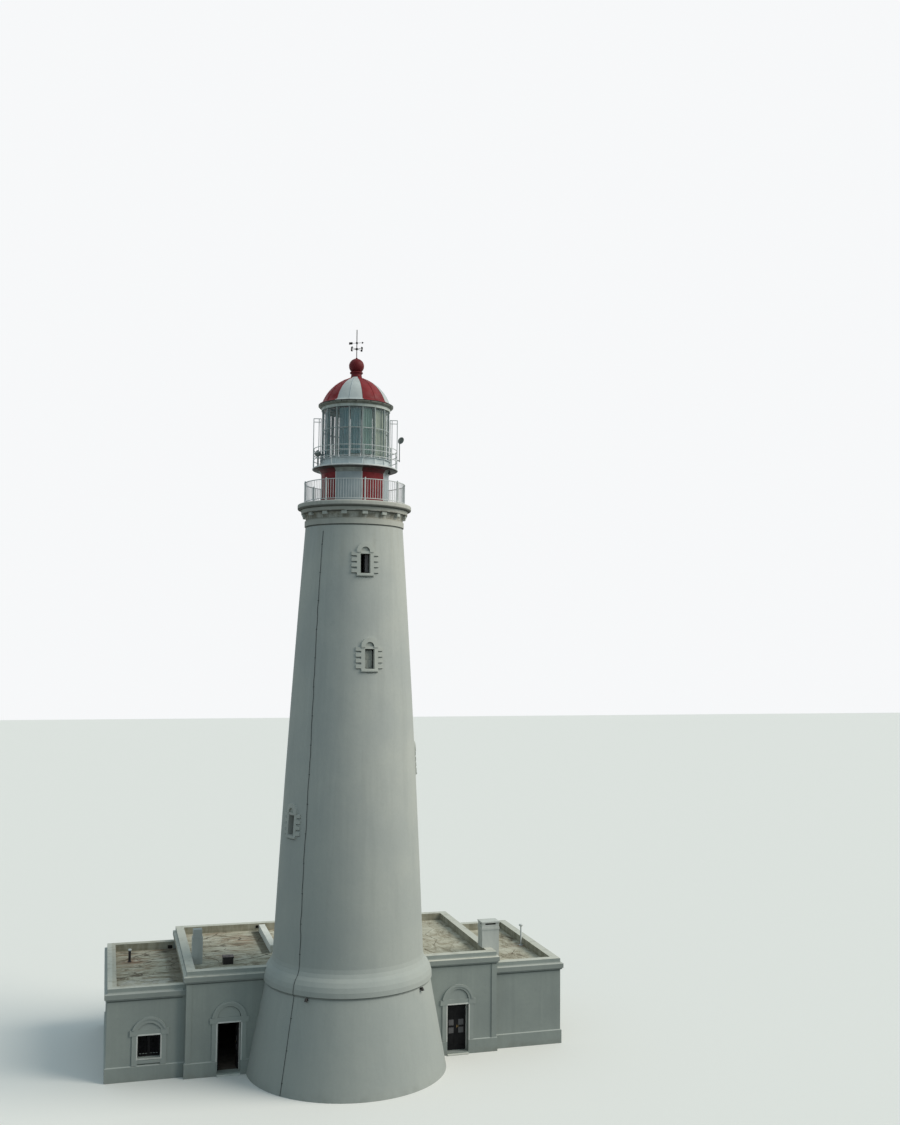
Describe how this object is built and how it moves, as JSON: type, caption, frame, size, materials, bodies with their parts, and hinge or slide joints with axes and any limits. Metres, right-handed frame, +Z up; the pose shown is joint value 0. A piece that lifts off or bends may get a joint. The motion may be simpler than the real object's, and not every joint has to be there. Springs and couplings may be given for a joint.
{
  "type": "lighthouse",
  "caption": "White tapered lighthouse tower with galleries, glazed lantern and red and white dome, rising from a long flat-roofed house with arched doorways.",
  "frame": {"origin": "on the tower's axis at ground level", "axes": "+Z up, -Y towards the house's front, +X to the right of someone facing the front"},
  "size_m": [21.14, 13.55, 33.66],
  "materials": {
    "white_render": "painted lime render",
    "roof_screed": "weathered cement screed",
    "floor_screed": "bare cement",
    "dark_sash": "painted, weathered",
    "white_frame": "painted",
    "black_door": "gloss paint",
    "white_metal": "paint with rust",
    "red_metal": "paint",
    "grey_metal": "paint, weathered",
    "pale_blue_metal": "paint",
    "lantern_glass": "clear, slightly green",
    "black_metal": "matt paint"
  },
  "bodies": {
    "building": {"base_wall_blocks": "white_render", "base_wall_infill": "white_render", "central_back_wall": "white_render", "central_end_walls": "white_render", "central_front_wall": "white_render", "central_roof": "roof_screed", "chimneys": "white_render", "dish": "white_metal", "dome_red_panels": "red_metal", "dome_white_panels": "white_metal", "door_posts": "white_frame", "door_rails": "white_frame", "door_steps": "floor_screed", "drum_door": "red_metal", "drum_red_panels": "red_metal", "drum_white_panels": "white_metal", "finial": "red_metal", "gallery_cornice": "white_render", "gallery_lamp": "grey_metal", "gallery_posts": "white_metal", "gallery_railing": "white_metal", "gallery_slab": "white_render", "house_floors": "floor_screed", "house_sashes": "dark_sash", "lantern_curb": "pale_blue_metal", "lantern_deck": "white_metal", "lantern_glass": "lantern_glass", "lantern_head": "grey_metal", "lantern_mullions": "white_metal", "lantern_posts": "white_metal", "lantern_rails": "white_metal", "lantern_transoms": "white_metal", "mast": "black_metal", "modillions": "white_render", "opening_arches": "white_render", "opening_heads": "white_render", "opening_jambs": "white_render", "opening_sills": "white_render", "passage_lintel": "white_render", "roof_hatch": "black_metal", "roof_upstand": "white_render", "roof_vents": "white_metal", "shaft_back": "white_render", "shaft_front": "white_render", "shaft_infill": "white_render", "shaft_left": "white_render", "shaft_right": "white_render", "tower_floor": "floor_screed", "tower_sashes": "dark_sash", "window_hoods": "white_render", "window_surrounds": "white_render", "wing_back_walls": "white_render", "wing_end_walls": "white_render", "wing_front_walls": "white_render", "wing_roofs": "roof_screed"},
    "left_door_left_leaf": {"left_door_left_leaf": "black_door"},
    "left_door_right_leaf": {"left_door_right_leaf": "black_door"},
    "right_door_left_leaf": {"right_door_left_leaf": "black_door"},
    "right_door_right_leaf": {"right_door_right_leaf": "black_door"},
    "vane": {"weather_vane": "black_metal"}
  },
  "joints": [
    {"name": "left_door_left_hinge", "type": "hinge", "parent": "building", "child": "left_door_left_leaf", "pos_m": [-5.717, 0.489, 0.11], "axis": [0, 0, 1], "range_deg": [-85, 0]},
    {"name": "left_door_right_hinge", "type": "hinge", "parent": "building", "child": "left_door_right_leaf", "pos_m": [-4.783, 0.489, 0.11], "axis": [0, 0, 1], "range_deg": [0, 85]},
    {"name": "right_door_left_hinge", "type": "hinge", "parent": "building", "child": "right_door_left_leaf", "pos_m": [4.783, 0.489, 0.11], "axis": [0, 0, 1], "range_deg": [0, 90]},
    {"name": "right_door_right_hinge", "type": "hinge", "parent": "building", "child": "right_door_right_leaf", "pos_m": [5.717, 0.489, 0.11], "axis": [0, 0, 1], "range_deg": [-90, 0]},
    {"name": "vane_turn", "type": "hinge", "parent": "building", "child": "vane", "pos_m": [0, 0, 33.03], "axis": [0, 0, 1], "continuous": true}
  ]
}
